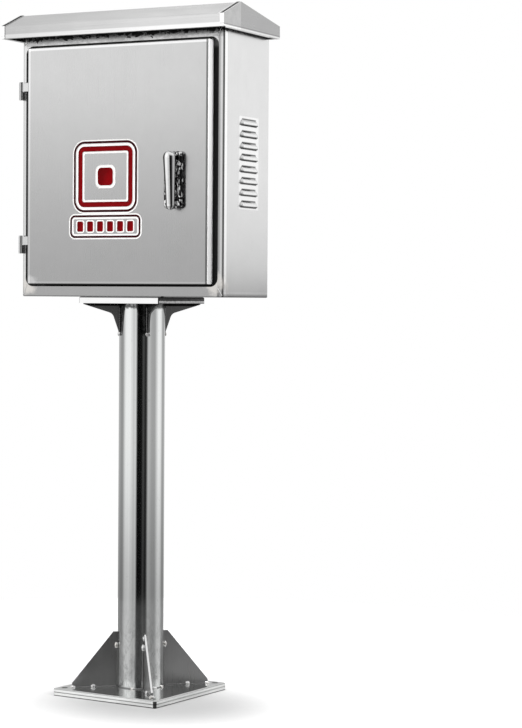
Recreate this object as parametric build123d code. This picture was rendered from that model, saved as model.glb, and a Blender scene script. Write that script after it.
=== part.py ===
from build123d import *
import math
import os

# Outdoor electrical cabinet with a rain canopy, on a round column with two gusseted plates.
# Millimetres. X runs to the right across the door, the door faces -Y, and Z is up.
# The origin is on the column's axis, on the underside of the base plate.

# Cabinet
cabinet_width = 500.0
cabinet_depth = 200.0
cabinet_height = 580.0
cabinet_sheet = 1.2
cabinet_bend = 3.0
clearance_to_ground = 865.0
cabinet_set_back = 8.0

# Front rim of the cabinet, measured from each outer edge to the opening
rim_hinge_side = 8.0
rim_lock_side = 14.0
rim_bottom = 22.0
rim_top = 36.0
opening_corner = 18.0
mitre_outside = 1.0
mitre_inside = 2.5
gutter_depth = 14.0
lip_height = 8.0
lip_inset = 11.0
lip_corner = 8.0

# Door
door_sheet = 1.5
door_bend = 2.5
door_flange = 22.0
door_proud = 10.0
door_corner = 3.0
door_gap_hinge_side = 10.0
door_gap_lock_side = 19.0
door_gap_top_bottom = 4.0
gasket_width = 10.0
soft_clearance = 0.3
stiffener_width = 50.0
stiffener_flange = 14.0
stiffener_depth = 13.0
stiffener_sheet = 1.2
stiffener_end_gap = 36.0
stiffener_x = -60.0

# Hinges
hinge_length = 37.0
hinge_from_top = 94.0
hinge_from_bottom = 86.0
knuckle_radius = 4.5
knuckle_outside = 1.0
knuckle_forward = 6.5
knuckle_gap = 0.3
pin_radius = 2.5
pin_clearance = 0.05
pin_head_height = 1.6
pin_head_radius = 4.0
leaf_thickness = 1.6
body_leaf_length = 26.0
door_leaf_weld = 5.3

# Lock
lock_from_edge = 79.0
lock_pivot_height = 266.0
lock_base_length = 120.0
lock_base_width = 46.0
lock_base_above = 14.0
lock_base_corner = 8.0
lock_base_thickness = 10.0
lock_base_edge = 6.0
lock_seal_thickness = 1.0
lock_boss_radius = 13.0
lock_boss_height = 2.0
lock_barrel_radius = 11.0
lock_barrel_reach = 16.0
lock_hole_clearance = 0.25
lock_nut_flats = 27.0
lock_nut_thickness = 5.0
lock_screw_drop = 88.0
lock_screw_bite = 3.5
lock_screw_hole_depth = 5.0
spindle_radius = 5.0
spindle_clearance = 0.05
spindle_square = 8.0
square_clearance = 0.1

# Lever
lever_length = 124.0
lever_head_radius = 14.5
lever_tip_radius = 10.0
lever_head_standoff = 28.0
lever_tip_standoff = 18.0
lever_head_thickness = 16.0
lever_tip_thickness = 12.0
lever_front_edge = 9.0
lever_back_edge = 1.5
lever_neck_radius = 10.0
lever_neck_gap = 0.3
spindle_seat = 6.0

# Tongue
tongue_length = 78.0
tongue_width = 18.0
tongue_thickness = 3.0
tongue_clearance = 0.5
tongue_screw_reach = 12.0

# Side louvres
louvre_count = 8
louvre_pitch = 24.7
louvre_length = 72.0
louvre_height = 12.5
louvre_depth = 6.0
louvre_sheet = 1.0
louvre_mouth = 4.0
louvre_bottom = 192.0
louvre_set_back = 8.0

# Canopy
roof_sheet_thickness = 1.2
roof_side_overhang = 25.0
roof_front_overhang = 50.0
roof_drop = 22.5
roof_fascia = 26.0
roof_rise = 31.5
roof_ridge_from_front = 73.0
roof_return = 9.0
gable_lap = 10.0
bracket_x = 150.0
bracket_thickness = 2.0
bracket_foot = 24.0
bracket_inset = 12.0
bracket_screw_front_inset = 30.0
bracket_screw_back_inset = 60.0
roof_screw_spacing = 190.0
roof_screw_drop = 11.0

# Back panel and mounting plate
back_flange = 12.0
plate_width = 430.0
plate_height = 500.0
plate_thickness = 2.0
plate_standoff = 26.0
plate_edge_to_stud = 15.0
plate_corner = 6.0
spacer_radius = 6.0

# Column
column_diameter = 100.0
column_wall = 2.0
cable_hole_radius = 30.0

# Base plate and its gussets
base_plate_width = 270.0
base_plate_sheet = 3.0
base_plate_height = 16.0
base_plate_bend = 5.0
base_yaw = -5.0
base_corner = 3.0
anchor_inset = 17.5
anchor_hole_radius = 7.0
base_gusset_height = 120.0
base_gusset_corner_gap = 41.0
base_gusset_top = 10.0
base_gusset_toe = 10.0
gusset_thickness = 4.0

# Top plate and its gussets
top_plate_sheet = 3.0
top_plate_height = 14.0
top_plate_bend = 5.0
top_corner = 3.0
top_bolt_inset = 22.0
top_gusset_drop = 68.0
top_gusset_corner_gap = 10.5
top_gusset_shoulder = 16.0
top_gusset_shoulder_drop = 22.0
top_gusset_edge = 2.0
top_gusset_hollow = 15.0

# Grommet in the cable entry
grommet_wall = 3.0
grommet_flange = 6.0
grommet_flange_thickness = 2.5
grommet_clearance = 0.2

# Fasteners: M5, M6 and M8 by nominal radius
m5 = 2.5
m6 = 3.0
m8 = 4.0
thread_clearance = 0.05
hole_clearance = 0.5
washer_thickness = 1.6
washer_spread = 4.0
nut_height_ratio = 0.8
flats_ratio = 1.62
head_height_ratio = 0.65
thread_past_nut = 3.0

# Earthing studs
earth_stud_length = 28.0
earth_stud_y = -40.0
earth_stud_height = 45.0
door_stud_length = 14.0
door_stud_inset = 67.0
door_stud_height = 60.0

# Worked out from the sizes above
cabinet_z = clearance_to_ground
cabinet_top_z = cabinet_z + cabinet_height
half_width = cabinet_width / 2
front_y = cabinet_set_back - cabinet_depth / 2
back_y = cabinet_set_back + cabinet_depth / 2

opening_left = -half_width + rim_hinge_side
opening_right = half_width - rim_lock_side
opening_bottom = cabinet_z + rim_bottom
opening_top = cabinet_top_z - rim_top

door_left = opening_left + door_gap_hinge_side
door_right = opening_right - door_gap_lock_side
door_bottom = opening_bottom + door_gap_top_bottom
door_top = opening_top - door_gap_top_bottom
door_face_y = front_y - door_proud
door_inner_y = door_face_y + door_sheet

gutter_floor_back = front_y + cabinet_sheet + gutter_depth
gutter_floor_front = gutter_floor_back - cabinet_sheet
lip_front_y = gutter_floor_front - lip_height

hinge_x = -half_width - knuckle_outside
hinge_y = front_y - knuckle_forward
hinge_heights = {"upper": door_top - hinge_from_top, "lower": door_bottom + hinge_from_bottom}

lock_x = door_right - lock_from_edge
lock_z = door_bottom + lock_pivot_height
lock_base_back = door_face_y - lock_seal_thickness
lock_base_front = lock_base_back - lock_base_thickness
lock_boss_front = lock_base_front - lock_boss_height
lock_base_centre_z = lock_z + lock_base_above - lock_base_length / 2
lever_head_y = door_face_y - lever_head_standoff
lever_tip_y = door_face_y - lever_tip_standoff
spindle_seat_y = lever_head_y + lever_head_thickness / 2 - spindle_seat
tongue_front_y = gutter_floor_back + tongue_clearance
tongue_back_y = tongue_front_y + tongue_thickness

roof_eave_z = cabinet_top_z - roof_drop
roof_shoulder_z = roof_eave_z + roof_fascia
roof_ridge_z = roof_shoulder_z + roof_rise
roof_front_y = front_y - roof_front_overhang
roof_back_y = back_y + roof_sheet_thickness
roof_ridge_y = roof_front_y + roof_ridge_from_front
roof_half_length = half_width + roof_side_overhang

column_radius = column_diameter / 2
top_plate_width = cabinet_depth
top_sheet_under = cabinet_z - top_plate_sheet
top_plate_under = cabinet_z - top_plate_height
inner_floor_z = cabinet_z + cabinet_sheet
plate_back_y = back_y - cabinet_sheet - plate_standoff
plate_front_y = plate_back_y - plate_thickness
plate_centre_z = cabinet_z + cabinet_height / 2

diagonals = {"front_right": -45.0, "back_right": 45.0, "back_left": 135.0, "front_left": -135.0}


def block(x0, x1, y0, y1, z0, z1):
    """A box between two corners."""
    size = Box(x1 - x0, y1 - y0, z1 - z0, align=(Align.MIN, Align.MIN, Align.MIN))
    return Pos(x0, y0, z0) * size


def front_plane(y):
    """A drawing plane that faces the viewer of the door, with local Y upwards."""
    return Plane(origin=(0, y, 0), x_dir=(1, 0, 0), z_dir=(0, -1, 0))


def side_plane(x):
    """A drawing plane across the width, with local X along +Y and local Y upwards."""
    return Plane(origin=(x, 0, 0), x_dir=(0, 1, 0), z_dir=(1, 0, 0))


def frame_sketch(left, right, bottom, top, corner):
    """A rounded rectangle, placed by its four sides."""
    shape = RectangleRounded(right - left, top - bottom, corner)
    return Pos((left + right) / 2, (bottom + top) / 2) * shape


def rod(radius, start, end):
    """A round bar from one point to another."""
    a = Vector(*start)
    b = Vector(*end)
    return extrude(Plane(origin=a, z_dir=b - a) * Circle(radius), (b - a).length)


def hexagon(radius, start, end):
    """A six-sided bar whose flats suit a thread of this radius."""
    a = Vector(*start)
    b = Vector(*end)
    sketch = RegularPolygon(radius * flats_ratio, 6, major_radius=False)
    return extrude(Plane(origin=a, z_dir=b - a) * sketch, (b - a).length)


def bolt(radius, seat, direction, grip):
    """A hex bolt: its head sits on the seat, and its shank runs grip along direction."""
    seat = Vector(*seat)
    way = Vector(*direction)
    head_end = seat - way * (2 * radius * head_height_ratio)
    return hexagon(radius, head_end, seat) + rod(radius, head_end, seat + way * grip)


def nut(radius, seat, direction):
    """A hex nut on the seat, standing out along direction."""
    seat = Vector(*seat)
    end = seat + Vector(*direction) * (2 * radius * nut_height_ratio)
    return hexagon(radius, seat, end) - rod(radius + thread_clearance, seat, end)


def washer(radius, seat, direction):
    """A plain washer on the seat, standing out along direction."""
    seat = Vector(*seat)
    end = seat + Vector(*direction) * washer_thickness
    return rod(radius + washer_spread, seat, end) - rod(radius + hole_clearance / 2, seat, end)


def folded_pan(size, height, sheet, bend, corner):
    """A square sheet with its four edges folded down, standing on Z = 0."""
    outer = extrude(RectangleRounded(size, size, corner), height)
    outer = fillet(outer.faces().sort_by(Axis.Z)[-1].edges(), min(bend, corner))
    inner_size = size - 2 * sheet
    inner = extrude(Rectangle(inner_size, inner_size), height - sheet)
    return outer - inner


def base_plate():
    plate = folded_pan(base_plate_width, base_plate_height, base_plate_sheet, base_plate_bend, base_corner)
    plate -= rod(cable_hole_radius, (0, 0, 0), (0, 0, base_plate_height))
    spacing = base_plate_width - 2 * anchor_inset
    for place in GridLocations(spacing, spacing, 2, 2):
        foot = place.position
        plate -= rod(anchor_hole_radius, foot, foot + Vector(0, 0, base_plate_height))
    return Rot(0, 0, base_yaw) * plate


def gusset(outline, angle):
    """A flat gusset from its outline in the radial plane, fitted against the round column."""
    plate = extrude(Plane.XZ * outline, gusset_thickness / 2, both=True)
    return Rot(0, 0, angle) * plate - rod(column_radius, (0, 0, 0), (0, 0, cabinet_z))


def base_gusset(angle):
    start = column_radius - gusset_thickness
    floor = base_plate_height
    top = floor + base_gusset_height
    reach = base_plate_width / math.sqrt(2) - base_gusset_corner_gap
    outline = Polygon(
        (start, floor),
        (reach, floor),
        (reach, floor + base_gusset_toe),
        (column_radius + base_gusset_top, top),
        (start, top),
        align=None,
    )
    return gusset(outline, angle + base_yaw)


def top_gusset(angle):
    start = column_radius - gusset_thickness
    reach = top_plate_width / math.sqrt(2) - top_gusset_corner_gap
    shoulder = column_radius + top_gusset_shoulder
    shoulder_z = top_plate_under - top_gusset_shoulder_drop
    outline = Polygon(
        (start, top_sheet_under),
        (reach, top_sheet_under),
        (reach, top_plate_under - top_gusset_edge),
        (shoulder, shoulder_z),
        (column_radius, top_plate_under - top_gusset_drop),
        (start, top_plate_under - top_gusset_drop),
        align=None,
    )
    hollow = outline.vertices().sort_by_distance(Vector(shoulder, shoulder_z, 0))[0]
    return gusset(fillet(hollow, top_gusset_hollow), angle)


def post_tube():
    length = top_sheet_under - base_plate_height
    tube = extrude(Circle(column_radius) - Circle(column_radius - column_wall), length)
    return Pos(0, 0, base_plate_height) * tube


def top_bolt_places():
    radius = top_plate_width / 2 - top_bolt_inset
    return [(radius, 0), (0, radius), (-radius, 0), (0, -radius)]


def top_plate():
    plate = folded_pan(top_plate_width, top_plate_height, top_plate_sheet, top_plate_bend, top_corner)
    plate = Pos(0, 0, top_plate_under) * plate
    plate -= rod(cable_hole_radius, (0, 0, top_plate_under), (0, 0, cabinet_z))
    for x, y in top_bolt_places():
        plate -= rod(m8 + hole_clearance, (x, y, top_plate_under), (x, y, cabinet_z))
    return plate


def post_bolts():
    under = top_sheet_under - washer_thickness
    nut_height = 2 * m8 * nut_height_ratio
    grip = inner_floor_z + washer_thickness + nut_height + thread_past_nut - under
    return [bolt(m8, (x, y, under), (0, 0, 1), grip) for x, y in top_bolt_places()]


def post_washers():
    outside = [washer(m8, (x, y, top_sheet_under), (0, 0, -1)) for x, y in top_bolt_places()]
    inside = [washer(m8, (x, y, inner_floor_z), (0, 0, 1)) for x, y in top_bolt_places()]
    return outside + inside


def post_nuts():
    seat = inner_floor_z + washer_thickness
    return [nut(m8, (x, y, seat), (0, 0, 1)) for x, y in top_bolt_places()]


def louvre_section(depth, height):
    """The bulge of a louvre seen from its end: an arc that is upright at the mouth below."""
    radius = (depth**2 + height**2) / (2 * depth)
    sweep = math.degrees(math.asin(height / radius))
    arc = CenterArc((depth - radius, 0), radius, 0, sweep)
    edges = [arc, Line((0, height), (0, 0)), Line((0, 0), (depth, 0))]
    return make_face(edges)


def louvre_bulge(depth, height, length):
    """A raised hood with rounded ends, open at its lower edge, on the plane X = 0."""
    straight = length / 2 - depth
    section = Plane.XZ * louvre_section(depth, height)
    middle = extrude(section, straight, both=True)
    end = revolve(section, Axis.Z, 90)
    far_end = mirror(end, Plane.XZ)
    return middle + Pos(0, straight, 0) * end + Pos(0, -straight, 0) * far_end


def louvre_hood():
    """One louvre as a sheet shell."""
    outer = louvre_bulge(louvre_depth, louvre_height, louvre_length)
    inner_height = louvre_height - louvre_sheet
    inner = louvre_bulge(louvre_depth - louvre_sheet, inner_height, louvre_length - 2 * louvre_sheet)
    return outer - inner


def louvre_slot():
    """The opening in the wall behind one louvre."""
    half_slot = louvre_length / 2 - louvre_depth
    return block(-2 * cabinet_sheet, louvre_sheet / 2, -half_slot, half_slot, 0, louvre_mouth + louvre_sheet)


def louvre_places():
    return [cabinet_z + louvre_bottom + louvre_pitch * i for i in range(louvre_count)]


def cabinet_sleeve():
    """The four walls with their front rim and louvres, before they are told apart."""
    outer = frame_sketch(-half_width, half_width, cabinet_z, cabinet_top_z, cabinet_bend)
    body = extrude(front_plane(back_y) * outer, cabinet_depth)
    front_edges = body.faces().sort_by(Axis.Y)[0].edges()
    body = fillet(front_edges, cabinet_bend - cabinet_sheet / 2)
    inner = front_plane(back_y) * back_outline(cabinet_sheet)
    body -= extrude(inner, cabinet_depth - cabinet_sheet)
    opening = frame_sketch(opening_left, opening_right, opening_bottom, opening_top, opening_corner)
    body -= extrude(front_plane(0) * opening, cabinet_depth)
    turns = {1: Rot(0, 0, 0), -1: Rot(0, 0, 180)}
    louvre_y = cabinet_set_back + louvre_set_back
    places = [
        Pos(side * half_width, louvre_y, z) * turn
        for side, turn in turns.items()
        for z in louvre_places()
    ]
    slot = louvre_slot()
    hood = louvre_hood()
    body -= [place * slot for place in places]
    body += [place * hood for place in places]
    holes = [rod(cable_hole_radius, (0, 0, cabinet_z), (0, 0, inner_floor_z))]
    for x, y in top_bolt_places():
        holes.append(rod(m8 + hole_clearance, (x, y, cabinet_z), (x, y, inner_floor_z)))
    for x, y in bracket_screw_places():
        under = cabinet_top_z - cabinet_sheet
        holes.append(rod(m6 + hole_clearance, (x, y, under), (x, y, cabinet_top_z)))
    body -= holes
    return body


def wall_region(start, end):
    """The part of the front view that one wall takes up, from one mitre to the next."""
    points = []
    for outer, inner, share in (
        (start[0], start[1], -mitre_outside),
        (end[0], end[1], -mitre_outside),
        (end[0], end[1], mitre_inside),
        (start[0], start[1], mitre_inside),
    ):
        x = outer[0] + (inner[0] - outer[0]) * share
        z = outer[1] + (inner[1] - outer[1]) * share
        points.append((x, z))
    return Polygon(*points, align=None)


def cabinet_walls():
    """Floor, sides and top: folded sheets whose front rims meet in mitres from corner to corner."""
    low_left = ((-half_width, cabinet_z), (opening_left, opening_bottom))
    low_right = ((half_width, cabinet_z), (opening_right, opening_bottom))
    high_right = ((half_width, cabinet_top_z), (opening_right, opening_top))
    high_left = ((-half_width, cabinet_top_z), (opening_left, opening_top))
    ends = {
        "cabinet_floor": (low_left, low_right),
        "cabinet_side_right": (low_right, high_right),
        "cabinet_top": (high_right, high_left),
        "cabinet_side_left": (high_left, low_left),
    }
    sleeve = cabinet_sleeve()
    walls = {}
    for name, (start, end) in ends.items():
        region = extrude(front_plane(back_y) * wall_region(start, end), cabinet_depth)
        walls[name] = sleeve & region
    return walls


def gutter_frame():
    """The rain channel behind the rim: outer wall, floor and the lip that the gasket meets."""
    wall_outer = frame_sketch(
        opening_left - cabinet_sheet,
        opening_right + cabinet_sheet,
        opening_bottom - cabinet_sheet,
        opening_top + cabinet_sheet,
        opening_corner + cabinet_sheet,
    )
    wall_inner = frame_sketch(opening_left, opening_right, opening_bottom, opening_top, opening_corner)
    half_lip = cabinet_sheet / 2
    lip_outer = lip_outline(half_lip)
    lip_inner = lip_outline(-half_lip)
    back = front_plane(gutter_floor_back)
    wall = extrude(back * (wall_outer - wall_inner), gutter_depth)
    floor = extrude(back * (wall_outer - lip_inner), cabinet_sheet)
    lip = extrude(back * (lip_outer - lip_inner), cabinet_sheet + lip_height)
    return wall + floor + lip


def lip_outline(spread):
    """The line of the lip, grown by spread on every side."""
    inset = lip_inset - spread
    return frame_sketch(
        door_left + inset, door_right - inset, door_bottom + inset, door_top - inset, lip_corner + spread
    )


def cabinet_back():
    """The back sheet, with its edges folded forward inside the body."""
    outer = extrude(front_plane(back_y) * back_outline(cabinet_sheet), back_flange)
    inner = extrude(front_plane(back_y - cabinet_sheet) * back_outline(2 * cabinet_sheet), back_flange)
    back = outer - inner
    for x in roof_screw_places():
        z = cabinet_top_z - roof_screw_drop
        back -= rod(m6 + hole_clearance, (x, back_y - cabinet_sheet, z), (x, back_y, z))
    return back


def back_outline(inset):
    """The inside of the body, less any further inset."""
    return frame_sketch(
        -half_width + inset,
        half_width - inset,
        cabinet_z + inset,
        cabinet_top_z - inset,
        max(cabinet_bend - inset, cabinet_sheet / 2),
    )


def cable_grommet():
    """A rubber bush through the cabinet floor and the top plate."""
    neck = cable_hole_radius - grommet_clearance
    bore = neck - grommet_wall
    upper = inner_floor_z + grommet_flange_thickness
    lower = top_sheet_under - grommet_flange_thickness
    bush = rod(neck, (0, 0, lower), (0, 0, upper))
    bush += rod(cable_hole_radius + grommet_flange, (0, 0, inner_floor_z), (0, 0, upper))
    bush += rod(cable_hole_radius + grommet_flange, (0, 0, lower), (0, 0, top_sheet_under))
    return bush - rod(bore, (0, 0, lower), (0, 0, upper))


def roof_outline(grow):
    """The canopy seen from its end, with every outer face moved out by grow."""
    front_slope = math.atan2(roof_rise, roof_ridge_y - roof_front_y)
    back_slope = math.atan2(roof_rise, roof_back_y - roof_ridge_y)
    ridge_half = (front_slope + back_slope) / 2
    ridge_turn = (back_slope - front_slope) / 2
    ridge_grow = grow / math.cos(ridge_half)
    return Polygon(
        (roof_back_y + grow, roof_eave_z),
        (roof_back_y + grow, roof_shoulder_z + grow * math.tan((math.pi / 2 - back_slope) / 2)),
        (roof_ridge_y + ridge_grow * math.sin(ridge_turn), roof_ridge_z + ridge_grow * math.cos(ridge_turn)),
        (roof_front_y - grow, roof_shoulder_z + grow * math.tan((math.pi / 2 - front_slope) / 2)),
        (roof_front_y - grow, roof_eave_z),
        align=None,
    )


def roof_sheet():
    """Fascia, two slopes and back flange, folded from one sheet, with a return under the fascia."""
    half = roof_half_length - roof_sheet_thickness
    outer = extrude(side_plane(0) * roof_outline(0), half, both=True)
    inner = extrude(side_plane(0) * roof_outline(-roof_sheet_thickness), half, both=True)
    sheet = outer - inner
    sheet += block(
        -half,
        half,
        roof_front_y,
        roof_front_y + roof_return,
        roof_eave_z,
        roof_eave_z + roof_sheet_thickness,
    )
    for x in roof_screw_places():
        z = cabinet_top_z - roof_screw_drop
        sheet -= rod(m6 + hole_clearance, (x, back_y, z), (x, roof_back_y, z))
    return sheet


def roof_gable(side):
    """An end plate whose edges lap over the folded sheet, with a return along its bottom."""
    inner_x = roof_half_length - roof_sheet_thickness
    cap = extrude(side_plane(roof_half_length) * roof_outline(roof_sheet_thickness), -gable_lap)
    cap -= extrude(side_plane(inner_x) * roof_outline(0), -gable_lap)
    cap += block(
        inner_x - roof_return,
        roof_half_length,
        roof_front_y + roof_return,
        roof_back_y - roof_sheet_thickness,
        roof_eave_z,
        roof_eave_z + roof_sheet_thickness,
    )
    if side < 0:
        cap = mirror(cap, Plane.YZ)
    return cap


def bracket_screw_places():
    """Where the bracket feet are screwed to the cabinet's top."""
    foot_x = bracket_x - bracket_foot / 2
    places = []
    for x in (foot_x, -foot_x):
        for y in (front_y + bracket_screw_front_inset, back_y - bracket_screw_back_inset):
            places.append((x, y))
    return places


def roof_bracket(side):
    """A bent plate under the slopes, on a foot that is screwed to the cabinet's top."""
    web_inner = bracket_x - bracket_thickness
    web = extrude(side_plane(bracket_x) * roof_outline(-roof_sheet_thickness), -bracket_thickness)
    keep = block(
        web_inner,
        bracket_x,
        front_y + bracket_inset,
        back_y - bracket_inset,
        cabinet_top_z,
        roof_ridge_z,
    )
    foot = block(
        bracket_x - bracket_foot,
        bracket_x,
        front_y + bracket_inset,
        back_y - bracket_inset,
        cabinet_top_z,
        cabinet_top_z + bracket_thickness,
    )
    bracket = (web & keep) + foot
    if side < 0:
        bracket = mirror(bracket, Plane.YZ)
    for x, y in bracket_screw_places():
        top = cabinet_top_z + bracket_thickness
        bracket -= rod(m6 + hole_clearance, (x, y, cabinet_top_z), (x, y, top))
    return bracket


def bracket_screws():
    under = cabinet_top_z - cabinet_sheet
    grip = cabinet_sheet + bracket_thickness + 2 * m6 * nut_height_ratio + thread_past_nut
    return [bolt(m6, (x, y, under), (0, 0, 1), grip) for x, y in bracket_screw_places()]


def bracket_nuts():
    seat = cabinet_top_z + bracket_thickness
    return [nut(m6, (x, y, seat), (0, 0, 1)) for x, y in bracket_screw_places()]


def roof_screw_places():
    return [-roof_screw_spacing, 0.0, roof_screw_spacing]


def roof_screws():
    z = cabinet_top_z - roof_screw_drop
    grip = roof_back_y - back_y + cabinet_sheet + 2 * m6 * nut_height_ratio + thread_past_nut
    return [bolt(m6, (x, roof_back_y, z), (0, -1, 0), grip) for x in roof_screw_places()]


def roof_nuts():
    z = cabinet_top_z - roof_screw_drop
    return [nut(m6, (x, back_y - cabinet_sheet, z), (0, -1, 0)) for x in roof_screw_places()]


def plate_stud_places():
    half_x = plate_width / 2 - plate_edge_to_stud
    half_z = plate_height / 2 - plate_edge_to_stud
    return [(x, plate_centre_z + z) for x in (half_x, -half_x) for z in (half_z, -half_z)]


def mounting_plate():
    half = plate_height / 2
    outline = frame_sketch(
        -plate_width / 2, plate_width / 2, plate_centre_z - half, plate_centre_z + half, plate_corner
    )
    plate = extrude(front_plane(plate_back_y) * outline, plate_thickness)
    for x, z in plate_stud_places():
        plate -= rod(m6 + hole_clearance, (x, plate_back_y, z), (x, plate_front_y, z))
    return plate


def plate_studs():
    wall = back_y - cabinet_sheet
    end = plate_front_y - washer_thickness - 2 * m6 * nut_height_ratio - thread_past_nut
    return [rod(m6, (x, wall, z), (x, end, z)) for x, z in plate_stud_places()]


def plate_spacers():
    wall = back_y - cabinet_sheet
    spacers = []
    for x, z in plate_stud_places():
        sleeve = rod(spacer_radius, (x, wall, z), (x, plate_back_y, z))
        spacers.append(sleeve - rod(m6 + hole_clearance / 2, (x, wall, z), (x, plate_back_y, z)))
    return spacers


def plate_washers():
    return [washer(m6, (x, plate_front_y, z), (0, -1, 0)) for x, z in plate_stud_places()]


def plate_nuts():
    seat = plate_front_y - washer_thickness
    return [nut(m6, (x, seat, z), (0, -1, 0)) for x, z in plate_stud_places()]


def earth_stud():
    wall = -half_width + cabinet_sheet
    z = cabinet_z + earth_stud_height
    return rod(m8, (wall, earth_stud_y, z), (wall + earth_stud_length, earth_stud_y, z))


def earth_washer():
    seat = (-half_width + cabinet_sheet, earth_stud_y, cabinet_z + earth_stud_height)
    return washer(m8, seat, (1, 0, 0))


def earth_nuts():
    first = -half_width + cabinet_sheet + washer_thickness
    second = first + 2 * m8 * nut_height_ratio
    z = cabinet_z + earth_stud_height
    return [nut(m8, (x, earth_stud_y, z), (1, 0, 0)) for x in (first, second)]


def door_panel():
    """A sheet with its four edges folded back, drilled for the lock."""
    outline = frame_sketch(door_left, door_right, door_bottom, door_top, door_corner)
    inner_outline = frame_sketch(
        door_left + door_sheet,
        door_right - door_sheet,
        door_bottom + door_sheet,
        door_top - door_sheet,
        door_corner - door_sheet,
    )
    back = front_plane(door_face_y + door_flange)
    panel = extrude(back * outline, door_flange)
    panel = fillet(panel.faces().sort_by(Axis.Y)[0].edges(), door_bend)
    panel -= extrude(back * inner_outline, door_flange - door_sheet)
    hole = lock_barrel_radius + lock_hole_clearance
    panel -= rod(hole, (lock_x, door_face_y, lock_z), (lock_x, door_inner_y, lock_z))
    screw_z = lock_z - lock_screw_drop
    panel -= rod(m5 + hole_clearance, (lock_x, door_face_y, screw_z), (lock_x, door_inner_y, screw_z))
    return panel


def door_stiffener():
    """A hat channel down the back of the door."""
    half = stiffener_width / 2
    inner_half = half - stiffener_flange
    crown_y = door_inner_y + stiffener_depth
    low = door_bottom + stiffener_end_gap
    high = door_top - stiffener_end_gap
    sheet = stiffener_sheet
    channel = block(-half, half, door_inner_y, door_inner_y + sheet, low, high)
    channel += block(-inner_half, inner_half, door_inner_y, crown_y, low, high)
    channel -= block(-inner_half + sheet, inner_half - sheet, door_inner_y, crown_y - sheet, low, high)
    return Pos(stiffener_x, 0, 0) * channel


def door_gasket():
    """Foam seal round the door, which the lip presses into when the door is pulled shut."""
    spread = gasket_width / 2
    ring = lip_outline(spread) - lip_outline(-spread)
    back = lip_front_y - soft_clearance
    return extrude(front_plane(back) * ring, back - door_inner_y)


def hinge_spans(name):
    """Bottom, middle and top of a hinge, with the gap between its two knuckles."""
    centre = hinge_heights[name]
    bottom = centre - hinge_length / 2
    top = centre + hinge_length / 2
    return bottom, centre - knuckle_gap / 2, centre + knuckle_gap / 2, top


def knuckle(bottom, top, bore):
    """One barrel of a hinge with its bore."""
    shell = rod(knuckle_radius, (hinge_x, hinge_y, bottom), (hinge_x, hinge_y, top))
    return shell - rod(bore, (hinge_x, hinge_y, bottom), (hinge_x, hinge_y, top))


def hinge_body_leaf(name):
    """The lower knuckle and the leaf that lies on the cabinet's side."""
    bottom, middle, _, _ = hinge_spans(name)
    outside = -half_width - leaf_thickness
    leaf = block(outside, -half_width, hinge_y, hinge_y + body_leaf_length, bottom, middle)
    bore = rod(knuckle_radius, (hinge_x, hinge_y, bottom), (hinge_x, hinge_y, middle))
    return leaf - bore + knuckle(bottom, middle, pin_radius)


def hinge_door_leaf(name):
    """The upper knuckle and the cranked leaf that is welded to the door's folded edge."""
    _, _, middle, top = hinge_spans(name)
    arm_front = hinge_y - leaf_thickness / 2
    weld_back = arm_front + door_leaf_weld
    arm = block(hinge_x, door_left, arm_front, arm_front + leaf_thickness, middle, top)
    weld = block(door_left - leaf_thickness, door_left, arm_front, weld_back, middle, top)
    bore = rod(knuckle_radius, (hinge_x, hinge_y, middle), (hinge_x, hinge_y, top))
    return arm + weld - bore + knuckle(middle, top, pin_radius + pin_clearance)


def hinge_pin(name):
    """The pin, pressed into the lower knuckle, with a head that rests on the upper one."""
    bottom, _, _, top = hinge_spans(name)
    head_bottom = top + knuckle_gap
    pin = rod(pin_radius, (hinge_x, hinge_y, bottom), (hinge_x, hinge_y, head_bottom))
    head_top = head_bottom + pin_head_height
    return pin + rod(pin_head_radius, (hinge_x, hinge_y, head_bottom), (hinge_x, hinge_y, head_top))


def lock_base_outline():
    outline = RectangleRounded(lock_base_width, lock_base_length, lock_base_corner)
    return Pos(lock_x, lock_base_centre_z) * outline


def lock_base():
    """The long lock body, its round boss and the threaded barrel through the door."""
    base = extrude(front_plane(lock_base_back) * lock_base_outline(), lock_base_thickness)
    base = fillet(base.faces().sort_by(Axis.Y)[0].edges(), lock_base_edge)
    barrel_end = door_face_y + lock_barrel_reach
    base += rod(lock_boss_radius, (lock_x, lock_base_front, lock_z), (lock_x, lock_boss_front, lock_z))
    base += rod(lock_barrel_radius, (lock_x, lock_base_back, lock_z), (lock_x, barrel_end, lock_z))
    bore = spindle_radius + spindle_clearance
    base -= rod(bore, (lock_x, lock_boss_front, lock_z), (lock_x, barrel_end, lock_z))
    screw_z = lock_z - lock_screw_drop
    hole_end = lock_base_back - lock_screw_hole_depth
    base -= rod(m5 + thread_clearance, (lock_x, lock_base_back, screw_z), (lock_x, hole_end, screw_z))
    return base


def lock_seal():
    """A thin rubber seal between the lock body and the door."""
    seal = extrude(front_plane(door_face_y) * lock_base_outline(), lock_seal_thickness)
    hole = lock_barrel_radius + lock_hole_clearance
    seal -= rod(hole, (lock_x, door_face_y, lock_z), (lock_x, lock_base_back, lock_z))
    screw_z = lock_z - lock_screw_drop
    return seal - rod(m5 + hole_clearance, (lock_x, door_face_y, screw_z), (lock_x, lock_base_back, screw_z))


def lock_nut():
    """The large flat nut that clamps the lock body from inside."""
    sketch = RegularPolygon(lock_nut_flats / 2, 6, major_radius=False)
    sketch -= Circle(lock_barrel_radius + thread_clearance)
    back = front_plane(door_inner_y + lock_nut_thickness)
    return extrude(back * Pos(lock_x, lock_z) * sketch, lock_nut_thickness)


def lock_screw():
    """The small screw that steadies the lower end of the lock body."""
    screw_z = lock_z - lock_screw_drop
    grip = door_sheet + lock_seal_thickness + lock_screw_bite
    return bolt(m5, (lock_x, door_inner_y, screw_z), (0, -1, 0), grip)


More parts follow.
